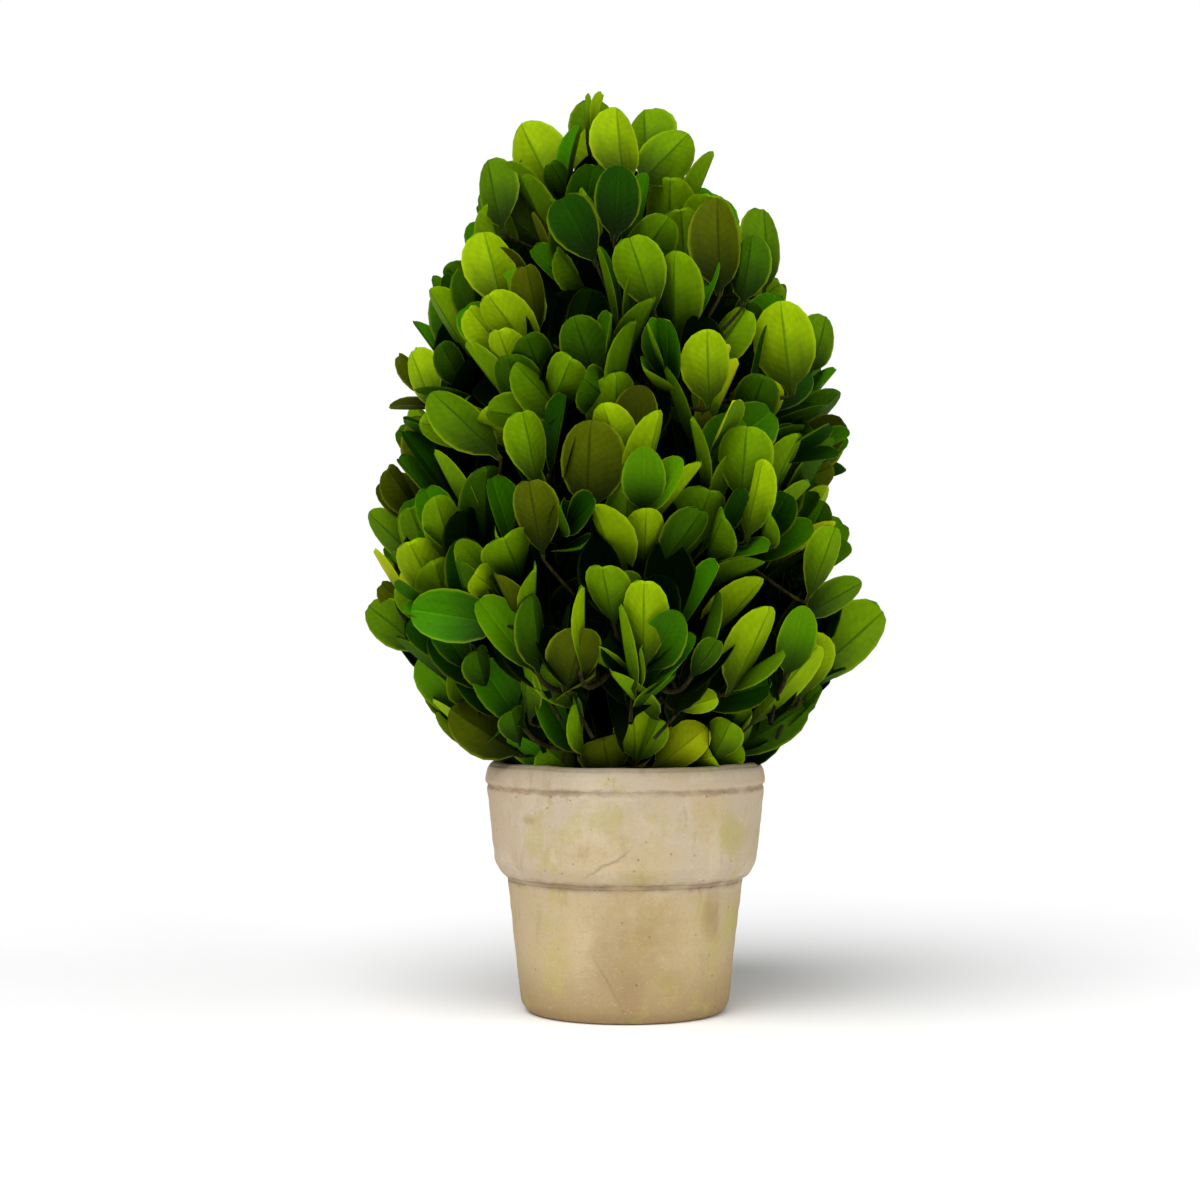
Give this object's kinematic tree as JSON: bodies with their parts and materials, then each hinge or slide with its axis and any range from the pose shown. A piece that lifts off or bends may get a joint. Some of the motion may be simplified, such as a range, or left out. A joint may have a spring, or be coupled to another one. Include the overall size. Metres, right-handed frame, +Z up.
{
  "type": "potted cone topiary",
  "caption": "Small clipped boxwood topiary, a blunt cone of leafy sprigs on a hidden stem, standing in a collared clay pot.",
  "frame": {"origin": "middle of the pot's flat underside", "axes": "+Z up along the pot's axis; -Y is the front, the side that the picture shows; +X to the viewer's right"},
  "size_m": [0.0843, 0.0844, 0.1525],
  "materials": {
    "clay": "unglazed pale buff terracotta, chalky and weathered",
    "fill": "dry dark filling under the foliage",
    "bark": "thin brown bark",
    "leaf": "satin green leaves, paler below"
  },
  "bodies": {
    "root": {"pot": "clay", "pot_fill": "fill", "trunk": "bark", "bough_lower_1": "bark", "bough_lower_2": "bark", "bough_lower_3": "bark", "bough_lower_4": "bark", "bough_lower_5": "bark", "bough_middle_1": "bark", "bough_middle_2": "bark", "bough_middle_3": "bark", "bough_middle_4": "bark", "bough_skirt_1": "bark", "bough_skirt_2": "bark", "bough_skirt_3": "bark", "bough_skirt_4": "bark", "bough_upper_1": "bark", "bough_upper_2": "bark", "bough_upper_3": "bark", "foliage_lower_1": "leaf", "foliage_lower_2": "leaf", "foliage_lower_3": "leaf", "foliage_lower_4": "leaf", "foliage_lower_5": "leaf", "foliage_middle_1": "leaf", "foliage_middle_2": "leaf", "foliage_middle_3": "leaf", "foliage_middle_4": "leaf", "foliage_skirt_1": "leaf", "foliage_skirt_2": "leaf", "foliage_skirt_3": "leaf", "foliage_skirt_4": "leaf", "foliage_tip": "leaf", "foliage_upper_1": "leaf", "foliage_upper_2": "leaf", "foliage_upper_3": "leaf"}
  },
  "joints": []
}
